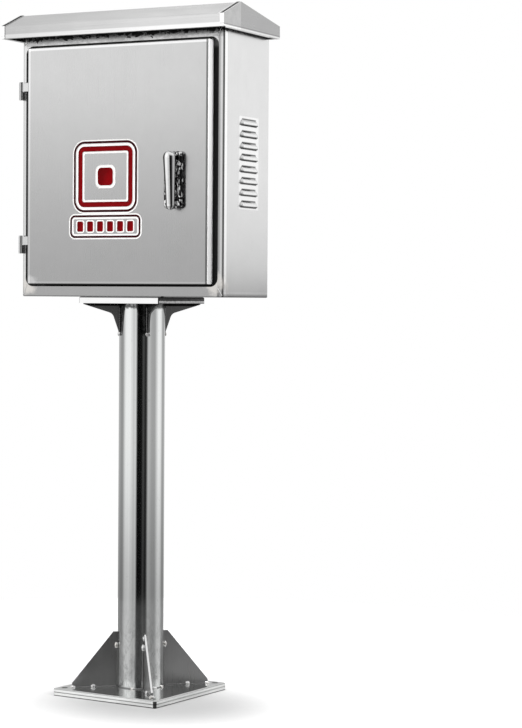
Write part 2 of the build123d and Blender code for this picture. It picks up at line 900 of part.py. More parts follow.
def door_earth_stud():
    x = door_right - door_stud_inset
    z = door_bottom + door_stud_height
    return rod(m6, (x, door_inner_y, z), (x, door_inner_y + door_stud_length, z))


def door_earth_nut():
    x = door_right - door_stud_inset
    z = door_bottom + door_stud_height
    return nut(m6, (x, door_inner_y, z), (0, 1, 0))


def lever():
    """A tapered grip with rounded edges, leaning towards its tip, on a neck above the boss."""
    tip_z = lock_z + lever_head_radius - lever_length + lever_tip_radius
    head = Pos(lock_x, lock_z) * Circle(lever_head_radius)
    tip = Pos(lock_x, tip_z) * Circle(lever_tip_radius)
    outline = make_hull(head.edges() + tip.edges())
    grip = extrude(front_plane(door_face_y) * outline, lever_head_standoff + lever_head_thickness)
    grip &= lever_side_profile(tip_z)
    grip = fillet(grip.faces().sort_by(Axis.Y)[0].edges(), lever_front_edge)
    grip = fillet(grip.faces().sort_by(Axis.Y)[-1].edges(), lever_back_edge)
    neck_end = (lock_x, lock_boss_front - lever_neck_gap, lock_z)
    grip += rod(lever_neck_radius, (lock_x, lever_head_y, lock_z), neck_end)
    return grip - rod(spindle_radius, (lock_x, spindle_seat_y, lock_z), neck_end)


def lever_side_profile(tip_z):
    """The lever seen from the side: its front and back faces close in towards the tip."""
    top = lock_z + lever_head_radius
    bottom = tip_z - lever_tip_radius
    half_head = lever_head_thickness / 2
    half_tip = lever_tip_thickness / 2
    outline = Polygon(
        (lever_head_y - half_head, top),
        (lever_head_y + half_head, top),
        (lever_tip_y + half_tip, bottom),
        (lever_tip_y - half_tip, bottom),
        align=None,
    )
    return extrude(side_plane(lock_x) * outline, 2 * lever_head_radius, both=True)


def spindle():
    """A round shaft from the lever to a square end that carries the tongue."""
    shaft = rod(spindle_radius, (lock_x, spindle_seat_y, lock_z), (lock_x, tongue_front_y, lock_z))
    side = Pos(lock_x, lock_z) * Rectangle(spindle_square, spindle_square)
    square = extrude(front_plane(tongue_back_y) * side, tongue_thickness)
    square &= rod(spindle_radius, (lock_x, tongue_front_y, lock_z), (lock_x, tongue_back_y, lock_z))
    end = tongue_front_y - tongue_screw_reach
    hole = rod(m5 + thread_clearance, (lock_x, end, lock_z), (lock_x, tongue_back_y, lock_z))
    return shaft + square - hole


def tongue():
    """The latch: upright beside the opening when free, and behind the lip after a quarter turn."""
    half = tongue_width / 2
    outline = SlotOverall(tongue_length + half, tongue_width, rotation=90)
    shape = Pos(lock_x, lock_z + (tongue_length - half) / 2) * outline
    hole = Pos(lock_x, lock_z) * Rectangle(
        spindle_square + 2 * square_clearance, spindle_square + 2 * square_clearance
    )
    return extrude(front_plane(tongue_back_y) * (shape - hole), tongue_thickness)


def tongue_washer():
    return washer(m5, (lock_x, tongue_back_y, lock_z), (0, 1, 0))


def tongue_screw():
    seat_y = tongue_back_y + washer_thickness
    grip = washer_thickness + tongue_thickness + tongue_screw_reach - thread_past_nut
    return bolt(m5, (lock_x, seat_y, lock_z), (0, -1, 0), grip)


def pieces():
    """Every node by name. A list is a group of separate solids in one node."""
    parts = {
        "base_plate": base_plate(),
        "post_tube": post_tube(),
        "top_plate": top_plate(),
        "post_bolts": post_bolts(),
        "post_washers": post_washers(),
        "post_nuts": post_nuts(),
        "gutter_frame": gutter_frame(),
        "cabinet_back": cabinet_back(),
        "cable_grommet": cable_grommet(),
        "roof_sheet": roof_sheet(),
        "roof_gable_right": roof_gable(1),
        "roof_gable_left": roof_gable(-1),
        "roof_bracket_right": roof_bracket(1),
        "roof_bracket_left": roof_bracket(-1),
        "bracket_screws": bracket_screws(),
        "bracket_nuts": bracket_nuts(),
        "roof_screws": roof_screws(),
        "roof_nuts": roof_nuts(),
        "mounting_plate": mounting_plate(),
        "plate_studs": plate_studs(),
        "plate_spacers": plate_spacers(),
        "plate_washers": plate_washers(),
        "plate_nuts": plate_nuts(),
        "earth_stud": earth_stud(),
        "earth_washer": earth_washer(),
        "earth_nuts": earth_nuts(),
        "door_panel": door_panel(),
        "door_stiffener": door_stiffener(),
        "door_gasket": door_gasket(),
        "door_earth_stud": door_earth_stud(),
        "door_earth_nut": door_earth_nut(),
        "lock_base": lock_base(),
        "lock_seal": lock_seal(),
        "lock_nut": lock_nut(),
        "lock_screw": lock_screw(),
        "lever": lever(),
        "spindle": spindle(),
        "tongue": tongue(),
        "tongue_washer": tongue_washer(),
        "tongue_screw": tongue_screw(),
    }
    parts.update(cabinet_walls())
    for name, angle in diagonals.items():
        parts["base_gusset_" + name] = base_gusset(angle)
        parts["top_gusset_" + name] = top_gusset(angle)
    for name in hinge_heights:
        parts["hinge_" + name + "_body_leaf"] = hinge_body_leaf(name)
        parts["hinge_" + name + "_door_leaf"] = hinge_door_leaf(name)
        parts["hinge_" + name + "_pin"] = hinge_pin(name)
    return parts


os.makedirs("parts", exist_ok=True)
for node, shape in pieces().items():
    if isinstance(shape, list):
        shape = Compound(children=shape)
    export_step(shape, "parts/" + node + ".step")
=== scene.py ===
import math
import random

import bmesh
import bpy
from mathutils import Matrix, Vector


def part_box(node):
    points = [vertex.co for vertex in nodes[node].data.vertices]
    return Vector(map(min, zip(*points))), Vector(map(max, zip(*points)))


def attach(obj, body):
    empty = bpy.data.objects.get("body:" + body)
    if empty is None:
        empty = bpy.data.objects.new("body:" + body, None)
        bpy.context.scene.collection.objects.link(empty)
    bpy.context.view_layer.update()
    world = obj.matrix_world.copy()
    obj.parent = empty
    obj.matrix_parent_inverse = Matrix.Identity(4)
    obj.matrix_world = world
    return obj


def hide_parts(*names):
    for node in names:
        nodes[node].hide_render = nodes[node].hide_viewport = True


# Looks of an outdoor electrical cabinet on a column: finishes, weld beads, printed films, light and camera.
# Metres, in the CAD frame: X to the right across the door, the door faces -Y, Z up.

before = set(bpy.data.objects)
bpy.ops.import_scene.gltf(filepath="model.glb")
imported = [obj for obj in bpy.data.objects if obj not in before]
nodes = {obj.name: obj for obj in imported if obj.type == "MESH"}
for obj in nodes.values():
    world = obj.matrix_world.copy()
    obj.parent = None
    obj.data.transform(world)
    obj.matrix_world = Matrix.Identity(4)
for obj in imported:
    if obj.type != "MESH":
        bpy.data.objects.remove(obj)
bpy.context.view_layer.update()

# Places taken from the CAD solids
door_low, door_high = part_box("door_panel")
wall_names = ("cabinet_floor", "cabinet_side_right", "cabinet_top", "cabinet_side_left")
walls = [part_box(name) for name in wall_names]
body_low = Vector([min(low[i] for low, high in walls) for i in range(3)])
body_high = Vector([max(high[i] for low, high in walls) for i in range(3)])
tube_low, tube_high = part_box("post_tube")
plate_low, plate_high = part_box("base_plate")
top_low, top_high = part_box("top_plate")
column_radius = (tube_high.x - tube_low.x) / 2
gable_low, gable_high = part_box("roof_gable_right")
roof_low, roof_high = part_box("roof_sheet")

# Places inside the boxes
base_yaw = math.radians(-5.0)
diagonals = {"front_right": -45.0, "back_right": 45.0, "back_left": 135.0, "front_left": -135.0}
half_gusset = 0.002
wall_x = 0.250
opening_left, opening_right = -0.236, 0.236
opening_foot, opening_top = 0.893, 1.409
louvre_mouth = 1.057
louvre_pitch = 0.0247
louvre_count = 8
louvre_front, louvre_back = -0.016, 0.051
ridge_y = -0.069
base_corner_reach = 0.1905


# Node helpers

def new_material(name):
    material = bpy.data.materials.new(name)
    material.use_nodes = True
    tree = material.node_tree
    return material, tree, tree.nodes["Principled BSDF"]


def add(tree, kind, **settings):
    node = tree.nodes.new(kind)
    for key, value in settings.items():
        setattr(node, key, value)
    return node


def math_node(tree, operation, a, b=None, c=None):
    node = add(tree, "ShaderNodeMath", operation=operation)
    for socket, value in zip(node.inputs, (a, b, c)):
        if value is None:
            continue
        if hasattr(value, "links"):
            tree.links.new(value, socket)
        else:
            socket.default_value = value
    return node.outputs[0]


def ranged(tree, value, low, high, to_low, to_high, smooth=False):
    node = add(tree, "ShaderNodeMapRange")
    node.interpolation_type = "SMOOTHSTEP" if smooth else "LINEAR"
    tree.links.new(value, node.inputs["Value"])
    node.inputs["From Min"].default_value = low
    node.inputs["From Max"].default_value = high
    node.inputs["To Min"].default_value = to_low
    node.inputs["To Max"].default_value = to_high
    return node.outputs["Result"]


def mixed(tree, factor, a, b):
    node = add(tree, "ShaderNodeMix", data_type="RGBA")
    for socket, value in ((node.inputs[0], factor), (node.inputs[6], a), (node.inputs[7], b)):
        if hasattr(value, "links"):
            tree.links.new(value, socket)
        else:
            socket.default_value = (*value, 1.0)
    return node.outputs[2]


def object_space(tree, scale=(1.0, 1.0, 1.0)):
    """Object coordinates, in metres, with a scale for each axis."""
    coords = add(tree, "ShaderNodeTexCoord")
    mapping = add(tree, "ShaderNodeMapping")
    mapping.inputs["Scale"].default_value = scale
    tree.links.new(coords.outputs["Object"], mapping.inputs["Vector"])
    return mapping.outputs["Vector"]


def noise(tree, vector, scale, detail=4.0, roughness=0.55, distortion=0.0):
    node = add(tree, "ShaderNodeTexNoise")
    tree.links.new(vector, node.inputs["Vector"])
    node.inputs["Scale"].default_value = scale
    node.inputs["Detail"].default_value = detail
    node.inputs["Roughness"].default_value = roughness
    node.inputs["Distortion"].default_value = distortion
    return node.outputs["Fac"]


def bump(tree, bsdf, height, strength, distance):
    node = add(tree, "ShaderNodeBump")
    node.inputs["Strength"].default_value = strength
    node.inputs["Distance"].default_value = distance
    tree.links.new(height, node.inputs["Height"])
    tree.links.new(node.outputs["Normal"], bsdf.inputs["Normal"])


def coat(tree, bsdf, color, roughness, metallic=1.0):
    """Links the colour and the roughness, and sets how metallic the surface is."""
    tree.links.new(color, bsdf.inputs["Base Color"])
    tree.links.new(roughness, bsdf.inputs["Roughness"])
    bsdf.inputs["Metallic"].default_value = metallic


def tinted(tree, value, tint):
    """A grey value as a colour, with a factor for each channel."""
    color = add(tree, "ShaderNodeCombineColor")
    for socket, share in zip(color.inputs, tint):
        tree.links.new(math_node(tree, "MULTIPLY", value, share), socket)
    return color.outputs["Color"]


def near_points(tree, points, radius):
    """1 close to any of the points and 0 beyond the radius, with a ragged edge."""
    place = object_space(tree)
    ragged = ranged(tree, noise(tree, place, 45.0, 3.0), 0.3, 0.7, -0.35 * radius, 0.35 * radius)
    nearest = None
    for point in points:
        node = add(tree, "ShaderNodeVectorMath", operation="DISTANCE")
        tree.links.new(place, node.inputs[0])
        node.inputs[1].default_value = point
        distance = node.outputs["Value"]
        nearest = distance if nearest is None else math_node(tree, "MINIMUM", nearest, distance)
    shifted = math_node(tree, "ADD", nearest, ragged)
    return ranged(tree, shifted, 0.35 * radius, radius, 1.0, 0.0, smooth=True)


def parted(tree, vector):
    """The three parts of a vector, as sockets."""
    node = add(tree, "ShaderNodeSeparateXYZ")
    tree.links.new(vector, node.inputs[0])
    return node.outputs


class Axes:
    """Object coordinates x, y, z and the object's own normal nx, ny, nz, as sockets."""

    def __init__(self, tree):
        coords = add(tree, "ShaderNodeTexCoord")
        self.x, self.y, self.z = parted(tree, coords.outputs["Object"])
        self.nx, self.ny, self.nz = parted(tree, coords.outputs["Normal"])


def magnitude(tree, value):
    return math_node(tree, "ABSOLUTE", value)


def above(tree, value, edge, soft):
    return ranged(tree, value, edge - soft / 2, edge + soft / 2, 0.0, 1.0, smooth=True)


def below(tree, value, edge, soft):
    return ranged(tree, value, edge - soft / 2, edge + soft / 2, 1.0, 0.0, smooth=True)


def band(tree, value, low, high, soft):
    return math_node(tree, "MULTIPLY", above(tree, value, low, soft), below(tree, value, high, soft))


def both(tree, first, *others):
    for other in others:
        first = math_node(tree, "MULTIPLY", first, other)
    return first


def either(tree, first, *others):
    for other in others:
        first = math_node(tree, "MAXIMUM", first, other)
    return first


def dressed(tree, value, roughness, marks):
    """Applies local marks. Each is a mask, a factor on the tone, and a change of roughness."""
    for mask, factor, change in marks:
        share = math_node(tree, "MULTIPLY_ADD", mask, factor - 1.0, 1.0)
        value = math_node(tree, "MULTIPLY", value, share)
        if change:
            roughness = math_node(tree, "MULTIPLY_ADD", mask, change, roughness)
    return value, roughness


# Finishes. Marks and matt are functions that draw local masks

def brushed_steel(
    name, tone, rough, grain, depth=0.06, cloud=0.05, grain_bump=0.10, tint=(1.0, 1.0, 1.0),
    polished=(), marks=None, matt=None, shine=0.5,
):
    """Stainless sheet: fine hairlines along one axis, soft clouding and faint handling marks."""
    material, tree, bsdf = new_material(name)
    at = Axes(tree)
    along, across = 5.0, 420.0
    scale = [along if axis == grain else across for axis in "xyz"]
    fine = noise(tree, object_space(tree, scale), 1.0, 3.0, 0.6)
    broad = noise(tree, object_space(tree, (3.0, 3.0, 2.2)), 1.6, 5.0, 0.6, 0.4)
    smudges = noise(tree, object_space(tree), 26.0, 6.0, 0.7)
    value = ranged(tree, fine, 0.25, 0.75, tone * (1 - depth), tone * (1 + depth))
    value = math_node(tree, "MULTIPLY", value, ranged(tree, broad, 0.3, 0.7, 1 - cloud, 1 + cloud))
    value = math_node(tree, "MULTIPLY", value, ranged(tree, smudges, 0.3, 0.75, 1.015, 0.975))
    roughness = ranged(tree, broad, 0.3, 0.7, rough * 0.88, rough * 1.14)
    roughness = math_node(tree, "ADD", roughness, ranged(tree, fine, 0.3, 0.7, -0.02, 0.03))
    if marks:
        value, roughness = dressed(tree, value, roughness, marks(tree, at))
    color = tinted(tree, value, tint)
    if polished:
        mask = near_points(tree, polished, 0.030)
        color = mixed(tree, math_node(tree, "MULTIPLY", mask, 0.7), color, (0.80, 0.77, 0.73))
        smoother = math_node(tree, "MULTIPLY", mask, rough * 0.55)
        roughness = math_node(tree, "SUBTRACT", roughness, smoother)
    coat(tree, bsdf, color, roughness)
    bsdf.inputs["Specular IOR Level"].default_value = shine
    if matt:
        metallic = math_node(tree, "MULTIPLY_ADD", matt(tree, at), -0.9, 1.0)
        tree.links.new(metallic, bsdf.inputs["Metallic"])
    bump(tree, bsdf, fine, grain_bump, 0.0004)
    return material


def polished_steel(name, tone, rough, streak=0.05, waviness=0.25, tint=(1.0, 1.0, 1.0), marks=None):
    """Buffed stainless: almost a mirror, with long faint draw lines and shallow waves."""
    material, tree, bsdf = new_material(name)
    lines = noise(tree, object_space(tree, (140.0, 140.0, 1.2)), 1.0, 4.0, 0.65)
    waves = noise(tree, object_space(tree, (14.0, 14.0, 5.0)), 1.0, 2.0, 0.4)
    specks = noise(tree, object_space(tree), 130.0, 3.0, 0.6)
    value = ranged(tree, lines, 0.3, 0.7, tone * (1 - streak), tone * (1 + streak))
    value = math_node(tree, "MULTIPLY", value, ranged(tree, specks, 0.62, 0.8, 1.0, 0.86))
    roughness = ranged(tree, lines, 0.3, 0.7, rough * 0.8, rough * 1.3)
    if marks:
        value, roughness = dressed(tree, value, roughness, marks(tree, Axes(tree)))
    coat(tree, bsdf, tinted(tree, value, tint), roughness)
    bump(tree, bsdf, waves, waviness, 0.0012)
    return material


def chrome(name, tone, peel_scale, peel, peel_height, marks):
    """Plated die casting: nearly a mirror, over a cast skin that ripples what it reflects."""
    material, tree, bsdf = new_material(name)
    smears = noise(tree, object_space(tree, (60.0, 60.0, 60.0)), 1.0, 4.0)
    orange_peel = noise(tree, object_space(tree), peel_scale, 2.0)
    value = ranged(tree, smears, 0.3, 0.7, tone * 0.95, tone * 1.04)
    roughness = ranged(tree, smears, 0.3, 0.7, 0.04, 0.09)
    value, roughness = dressed(tree, value, roughness, marks(tree, Axes(tree)))
    coat(tree, bsdf, value, roughness)
    bump(tree, bsdf, orange_peel, peel, peel_height)
    return material


def weld_metal(name):
    """Buffed weld: bright, lumpy, with a little straw and blue heat tint."""
    material, tree, bsdf = new_material(name)
    place = object_space(tree)
    tint = noise(tree, place, 70.0, 3.0)
    ripple = noise(tree, place, 420.0, 3.0)
    straw = ranged(tree, tint, 0.50, 0.75, 0.0, 1.0)
    blue = ranged(tree, tint, 0.28, 0.36, 0.5, 0.0)
    color = mixed(tree, straw, (0.95, 0.95, 0.95), (0.80, 0.76, 0.70))
    color = mixed(tree, blue, color, (0.55, 0.60, 0.66))
    coat(tree, bsdf, color, ranged(tree, ripple, 0.3, 0.7, 0.12, 0.30))
    bump(tree, bsdf, ripple, 0.35, 0.0006)
    return material


def galvanised(name):
    """Zinc-plated sheet with its crystal pattern."""
    material, tree, bsdf = new_material(name)
    place = object_space(tree)
    cells = add(tree, "ShaderNodeTexVoronoi")
    cells.inputs["Scale"].default_value = 85.0
    tree.links.new(place, cells.inputs["Vector"])
    shade = add(tree, "ShaderNodeSeparateColor")
    tree.links.new(cells.outputs["Color"], shade.inputs["Color"])
    dirt = noise(tree, place, 12.0, 5.0)
    color = mixed(tree, shade.outputs[0], (0.52, 0.55, 0.58), (0.66, 0.69, 0.72))
    color = mixed(tree, ranged(tree, dirt, 0.45, 0.75, 0.0, 0.25), color, (0.40, 0.42, 0.43))
    coat(tree, bsdf, color, ranged(tree, shade.outputs[1], 0.0, 1.0, 0.30, 0.48))
    bump(tree, bsdf, dirt, 0.12, 0.0005)
    return material


def rubber(name):
    """Black rubber with fine pores and a little dust."""
    material, tree, bsdf = new_material(name)
    place = object_space(tree)
    pores = noise(tree, place, 900.0, 4.0, 0.7)
    dust = noise(tree, place, 30.0, 5.0)
    dusty = ranged(tree, dust, 0.45, 0.8, 0.0, 0.5)
    color = mixed(tree, dusty, (0.018, 0.018, 0.019), (0.07, 0.068, 0.065))
    coat(tree, bsdf, color, ranged(tree, dust, 0.3, 0.7, 0.62, 0.82), 0.0)
    bump(tree, bsdf, pores, 0.25, 0.0004)
    return material


def vinyl(name, main, worn, gloss):
    """Printed film: slight orange peel, faded patches and a scuffed gloss."""
    material, tree, bsdf = new_material(name)
    place = object_space(tree)
    fade = noise(tree, place, 38.0, 5.0, 0.6)
    grain = noise(tree, place, 700.0, 3.0)
    color = mixed(tree, ranged(tree, fade, 0.45, 0.8, 0.0, 0.6), main, worn)
    coat(tree, bsdf, color, ranged(tree, fade, 0.3, 0.7, 0.38, 0.55), 0.0)
    bsdf.inputs["Specular IOR Level"].default_value = gloss
    bump(tree, bsdf, grain, 0.10, 0.0002)
    return material


# Marks on the sheets, most of them painted shade and painted highlights. Each is a mask, a factor on the
# tone, and a change of roughness

def louvre_marks(tree, at):
    """Painted shade in the creases and mouths of the pressed louvres of both sides, deepest towards the
    back of the mouths, and a painted highlight in a lighter halo around them.
    """
    start = louvre_mouth - 0.004
    stop = start + louvre_count * louvre_pitch - 0.002
    steps = math_node(tree, "MULTIPLY_ADD", at.z, 1 / louvre_pitch, -start / louvre_pitch)
    rise = math_node(tree, "MULTIPLY", math_node(tree, "FRACT", steps), louvre_pitch)
    wall = above(tree, magnitude(tree, at.x), body_high.x - 0.008, 0.001)
    zone = both(tree, wall, band(tree, at.z, start - 0.001, stop, 0.002))
    crease_length = band(tree, at.y, louvre_front + 0.002, louvre_back - 0.002, 0.005)
    mouth_length = band(tree, at.y, louvre_front - 0.003, louvre_back + 0.002, 0.005)
    crease = both(tree, zone, band(tree, rise, 0.0148, 0.0182, 0.0016), crease_length)
    mouth = both(tree, zone, band(tree, rise, 0.0022, 0.0058, 0.0016), mouth_length)
    halo = both(tree, zone, band(tree, at.y, louvre_front - 0.010, louvre_back + 0.011, 0.008))
    deep_mouth_shade = both(tree, mouth, above(tree, at.y, louvre_back - 0.015, 0.02))
    return [(halo, 1.22, -0.02), (crease, 0.20, 0.05), (mouth, 0.16, 0.05), (deep_mouth_shade, 0.5, 0.0)]


def wall_marks(tree, at):
    """The cabinet's four walls with their front rim. Painted shade: a dark band along the sides' foot, the
    sides darker towards the bottom, the rim darker below the door, a darker strip beside the opening's
    right edge, a dark line by the right front fold, a painted shadow under the canopy with a wavy lower
    edge, and mottled shade above the opening. Painted highlights: a line above the sides' dark foot band
    and a line along the sides' front edge.
    """
    front = below(tree, at.ny, -0.6, 0.4)
    side = above(tree, magnitude(tree, at.nx), 0.6, 0.4)
    # Painted shade along the sides' foot and lower part, with painted highlight lines above the foot band
    # and along the front edge
    foot = both(tree, side, below(tree, at.z, body_low.z + 0.0065, 0.0015))
    foot_highlight = both(tree, side, band(tree, at.z, body_low.z + 0.0075, body_low.z + 0.0115, 0.0015))
    lower_side_shade = both(tree, side, below(tree, at.z, body_low.z + 0.155, 0.30))
    edge = both(tree, side, band(tree, at.y, body_low.y + 0.002, body_low.y + 0.012, 0.002))
    # Painted shade on the rim below the door, beside the opening's right edge and by the right front fold
    low_rim_shade = both(tree, front, below(tree, at.z, opening_foot + 0.007, 0.02))
    inner_edge = above(tree, at.x, opening_right - 0.0015, 0.002)
    right_rim_shade = both(tree, front, inner_edge, below(tree, at.x, opening_right + 0.0045, 0.006))
    fold = band(tree, at.x, wall_x - 0.0045, wall_x - 0.0008, 0.0012)
    right_fold_shade = both(tree, below(tree, at.ny, -0.35, 0.3), fold)
    # Painted shadow under the canopy with a wavy lower edge, and mottled painted shade above the opening
    cloud = noise(tree, object_space(tree, (1.0, 1.0, 1.6)), 60.0, 3.0, 0.6, 0.8)
    shadow_edge_wave = math_node(tree, "MULTIPLY_ADD", cloud, 0.055, at.z)
    eave_shadow = both(tree, front, above(tree, shadow_edge_wave, body_high.z + 0.005, 0.0022))
    cloudy = ranged(tree, cloud, 0.38, 0.62, 1.0, 0.2)
    mottled_top_shade = both(tree, front, above(tree, at.z, opening_top - 0.0005, 0.002), cloudy)
    marks = [
        (foot, 0.66, 0.02), (foot_highlight, 1.10, -0.02), (lower_side_shade, 0.82, 0.0), (edge, 1.32, -0.06),
        (low_rim_shade, 0.60, 0.0), (right_rim_shade, 0.50, 0.0), (right_fold_shade, 0.30, 0.0), (mottled_top_shade, 0.66, 0.0),
        (eave_shadow, 0.06, 0.1),
    ]
    return marks + louvre_marks(tree, at)


def door_marks(tree, at):
    """The door: painted highlights in lines along its top, left and bottom folds and on its closing edge,
    painted shade in a dark line by its right fold and under its bottom fold, a pale corner, and painted
    shade that darkens it towards the foot.
    """
    face = below(tree, at.ny, -0.8, 0.2)
    # Painted shade darkening towards the foot, a painted highlight on the closing edge and a painted shade
    # line by the right fold
    foot_shade = ranged(tree, at.z, door_low.z, door_low.z + 0.42, 1.0, 0.0, smooth=True)
    flange_highlight = above(tree, at.nx, 0.6, 0.3)
    fold = both(tree, face, band(tree, at.x, door_high.x - 0.0055, door_high.x - 0.0022, 0.001))
    # Painted highlight lines along the top, left and bottom folds
    top_highlight_line = both(tree, face, band(tree, at.z, door_high.z - 0.0075, door_high.z - 0.0030, 0.0015))
    left_highlight_line = both(tree, face, band(tree, at.x, door_low.x + 0.0030, door_low.x + 0.0070, 0.0015))
    foot_highlight = both(tree, face, band(tree, at.z, door_low.z + 0.0030, door_low.z + 0.0062, 0.0015))
    # Painted shade under the bottom fold
    under = below(tree, at.nz, -0.35, 0.3)
    corner = Vector((door_low.x + 0.010, door_low.y, door_low.z + 0.010))
    pale_corner = both(tree, face, near_points(tree, [corner], 0.016))
    return [
        (foot_shade, 0.72, 0.0), (flange_highlight, 1.55, 0.25), (fold, 0.36, 0.0), (top_highlight_line, 1.36, -0.06),
        (left_highlight_line, 1.30, -0.06), (foot_highlight, 1.18, -0.04), (under, 0.12, 0.2), (pale_corner, 1.35, -0.08),
    ]


def door_matt(tree, at):
    """The front of the door's closing edge, made less metallic so that its painted highlight shows."""
    return both(tree, above(tree, at.nx, 0.6, 0.3), above(tree, at.x, door_high.x - 0.004, 0.001))


def roof_marks(tree, at):
    """The canopy's sheet: a painted highlight along the fascia's foot, the fascia painted darker to the
    left and lighter to the right, the slope painted darker to the right, and a painted highlight at the
    slope's right end.
    """
    fascia = below(tree, at.ny, -0.8, 0.3)
    # Painted light and shade from left to right
    right = ranged(tree, at.x, roof_low.x, roof_high.x, 0.0, 1.0)
    left = math_node(tree, "SUBTRACT", 1.0, right)
    # Painted highlights along the fascia's foot and at the slope's right end
    hem = both(tree, fascia, below(tree, at.z, roof_low.z + 0.0085, 0.002))
    slope = above(tree, at.nz, 0.6, 0.3)
    end_highlight = both(tree, slope, above(tree, at.x, gable_high.x - 0.0165, 0.001))
    return [
        (both(tree, fascia, left), 0.77, 0.0), (both(tree, fascia, right), 1.13, 0.0),
        (hem, 1.32, -0.06), (both(tree, slope, right), 0.92, 0.0), (end_highlight, 1.75, -0.05),
    ]


def lap_step_shade(tree, at):
    """The line across the slopes along the lap of each end plate. It masks painted shade, near black, for
    the shadow in the lap's step, and a less metallic finish there.
    """
    line = band(tree, magnitude(tree, at.x), gable_high.x - 0.0104, gable_high.x - 0.0018, 0.0008)
    return both(tree, above(tree, at.nz, 0.6, 0.3), line)


def gable_marks(tree, at):
    """The end plates: a painted highlight on the hem below with a painted shade line over it, painted light
    on a cloudy zone ahead of the ridge, a painted highlight on the lap, and painted shade in the line along
    the lap's step.
    """
    # Painted highlight on the hem with a painted shade line over it, and painted light ahead of the ridge
    hem = below(tree, at.z, gable_low.z + 0.0035, 0.001)
    hem_shade_line = band(tree, at.z, gable_low.z + 0.0050, gable_low.z + 0.0062, 0.001)
    cloud = noise(tree, object_space(tree), 55.0, 4.0, 0.6)
    lit_front_zone = both(tree, below(tree, at.y, ridge_y, 0.004), ranged(tree, cloud, 0.3, 0.7, 0.55, 1.0))
    # Painted highlight on the lap
    lap = below(tree, magnitude(tree, at.nx), 0.7, 0.3)
    return [
        (hem, 1.9, -0.04), (hem_shade_line, 0.55, 0.0), (lit_front_zone, 1.30, -0.02), (lap, 2.0, -0.05),
        (lap_step_shade(tree, at), 0.01, 0.3),
    ]


def upright(tree, at):
    """1 on a plate's turned-down edges and 0 on its flat top."""
    return below(tree, magnitude(tree, at.nz), 0.5, 0.3)


def base_plate_marks(tree, at):
    """Turned-down edges painted bright as a highlight and painted darker where they face right, with
    painted contact shade along the foot, dark lines along the middle and top, and a seam at one corner.
    """
    # Painted highlight on the turned-down edges
    side = upright(tree, at)
    height = plate_high.z - plate_low.z
    # Painted contact shade along the foot
    foot = below(tree, at.z, plate_low.z + 0.11 * height, 0.0008)
    middle = band(tree, at.z, plate_low.z + 0.43 * height, plate_low.z + 0.55 * height, 0.0008)
    top = above(tree, at.z, plate_high.z - 0.15 * height, 0.001)
    turn = math.radians(diagonals["front_right"]) + base_yaw
    corner_x, corner_y = base_corner_reach * math.cos(turn), base_corner_reach * math.sin(turn)
    off_x = magnitude(tree, math_node(tree, "SUBTRACT", at.x, corner_x))
    off_y = magnitude(tree, math_node(tree, "SUBTRACT", at.y, corner_y))
    seam = below(tree, math_node(tree, "ADD", off_x, off_y), 0.0058, 0.0016)
    # Painted shade where the edges face right
    right = above(tree, at.nx, 0.5, 0.3)
    return [
        (side, 1.38, 0.05), (both(tree, side, foot), 0.12, 0.1), (both(tree, side, middle), 0.28, 0.1),
        (both(tree, side, top), 0.20, 0.1), (both(tree, side, seam), 0.05, 0.1),
        (both(tree, side, right), 0.86, 0.0),
    ]


def edge_matt(tree, at):
    """The base plate's turned-down edges, made less metallic so that their painted highlight shows."""
    return math_node(tree, "MULTIPLY", upright(tree, at), 0.60)


def top_plate_marks(tree, at):
    """A front edge painted bright as a highlight, with a painted shadow line under the cabinet, blotchy
    side edges between dark folds, and painted shade on the underside.
    """
    front = below(tree, at.ny, -0.6, 0.3)
    side = above(tree, magnitude(tree, at.nx), 0.6, 0.3)
    low_fold = below(tree, at.z, top_low.z + 0.0010, 0.0006)
    folds = either(tree, low_fold, above(tree, at.z, top_high.z - 0.0082, 0.001))
    # A painted shadow line where the cabinet sits on the plate
    front_shadow_line = both(tree, front, above(tree, at.z, top_high.z - 0.0022, 0.001))
    mottle = noise(tree, object_space(tree), 110.0, 3.0, 0.6)
    blotch = both(tree, side, ranged(tree, mottle, 0.42, 0.60, 0.0, 1.0))
    corner = band(tree, at.x, top_high.x - 0.0030, top_high.x - 0.0006, 0.0006)
    seam = both(tree, corner, below(tree, at.y, top_low.y + 0.004, 0.001))
    # Painted shade on the underside
    under = below(tree, at.nz, -0.5, 0.3)
    return [
        (front, 1.36, -0.10), (front_shadow_line, 0.25, 0.1), (both(tree, side, folds), 0.08, 0.1),
        (under, 0.2, 0.1), (blotch, 0.55, 0.05), (seam, 0.10, 0.1),
    ]


def tube_marks(tree, at):
    """A painted dark reflection with pale flecks at the column's head, shaped by the gussets, and uneven
    streaks at its foot.
    """
    mottle = noise(tree, object_space(tree, (1.0, 1.0, 0.7)), 120.0, 4.0, 0.65, 0.6)
    turn = math_node(tree, "MULTIPLY", math_node(tree, "ARCTAN2", at.y, at.x), 4.0)
    beside_gusset = ranged(tree, math_node(tree, "COSINE", turn), 0.50, -0.45, 0.0, 0.058, smooth=True)
    left_half = below(tree, math_node(tree, "ADD", at.x, at.y), 0.0, 0.006)
    wave = ranged(tree, mottle, 0.3, 0.7, -0.004, 0.004)
    reach = math_node(tree, "ADD", at.z, both(tree, beside_gusset, left_half))
    reach = math_node(tree, "ADD", reach, wave)
    # Painted dark reflection at the head
    head_reflection = above(tree, reach, tube_high.z - 0.022, 0.006)
    flecks = both(tree, head_reflection, ranged(tree, mottle, 0.50, 0.64, 0.0, 1.0))
    foot = below(tree, at.z, 0.16, 0.16)
    streaks = noise(tree, object_space(tree, (1.0, 1.0, 0.45)), 70.0, 5.0, 0.7, 1.2)
    streaked = both(tree, foot, ranged(tree, streaks, 0.40, 0.56, 1.0, 0.0))
    return [(head_reflection, 0.13, 0.10), (flecks, 3.4, 0.0), (foot, 1.06, 0.06), (streaked, 0.74, 0.07)]


